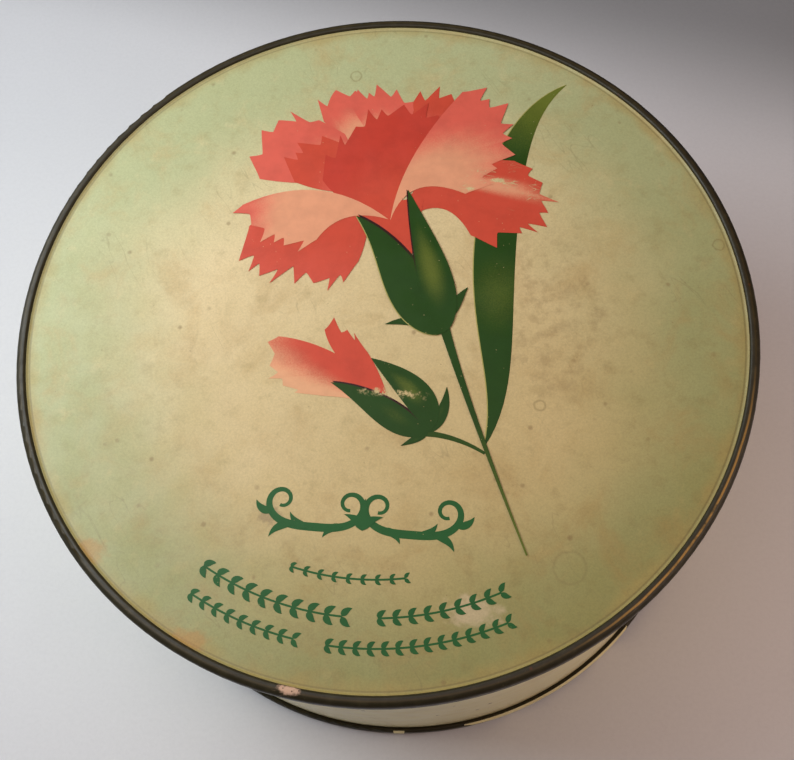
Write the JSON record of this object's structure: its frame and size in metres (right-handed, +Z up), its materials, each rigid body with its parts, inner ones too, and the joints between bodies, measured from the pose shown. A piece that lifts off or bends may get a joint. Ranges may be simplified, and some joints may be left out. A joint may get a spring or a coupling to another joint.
{
  "type": "talcum powder tin",
  "caption": "Round slip-lid powder tin with seamed metal rims, a printed paper label let into the lid, and a powder drum, lift-out divider and ribbon-backed puff inside.",
  "frame": {"origin": "centre of the circle on which the base rests", "axes": "+Z up through the centre of the lid; +Y towards the lapped side seams, at the back; +X to the right"},
  "size_m": [0.1142, 0.1142, 0.062],
  "materials": {
    "dark_lacquer": "dark bronze lacquer on tinplate, satin, rubbed to brass colour on the crest",
    "cream_enamel": "cream enamel, satin, aged and chipped at the foot",
    "label_paper": "varnished printed paper, yellowed and foxed",
    "pasteboard": "grey-brown pasteboard, matt",
    "talc": "loose white powder, matt",
    "waxed_paper": "waxed paper, faint sheen",
    "tab_ribbon": "ribbed cotton tape",
    "velour": "short pile velour",
    "satin": "satin, soft gloss",
    "satin_ribbon": "satin ribbon, soft gloss"
  },
  "bodies": {
    "base": {"base_wall": "cream_enamel", "base_bottom": "dark_lacquer", "powder_drum": "pasteboard", "powder_bed": "talc", "powder_seal": "waxed_paper"},
    "lid": {"lid_end": "dark_lacquer", "lid_skirt": "cream_enamel", "lid_board": "pasteboard", "lid_label": "label_paper"},
    "divider": {"divider_card": "pasteboard", "divider_tab": "tab_ribbon"},
    "puff": {"puff_pad": "velour", "puff_back": "satin", "puff_ribbon": "satin_ribbon"}
  },
  "joints": [
    {"name": "lid_lift", "type": "slide", "parent": "base", "child": "lid", "axis": [0, 0, 1], "range_m": [0, 0.12]},
    {"name": "puff_lift", "type": "slide", "parent": "base", "child": "puff", "axis": [0, 0, 1], "range_m": [0, 0.06]},
    {"name": "divider_lift", "type": "slide", "parent": "base", "child": "divider", "axis": [0, 0, 1], "range_m": [0, 0.03]}
  ],
  "couplings": [
    {"joint": "puff_lift", "follows": "lid_lift", "ratio": 0.5},
    {"joint": "divider_lift", "follows": "lid_lift", "ratio": 0.25}
  ]
}
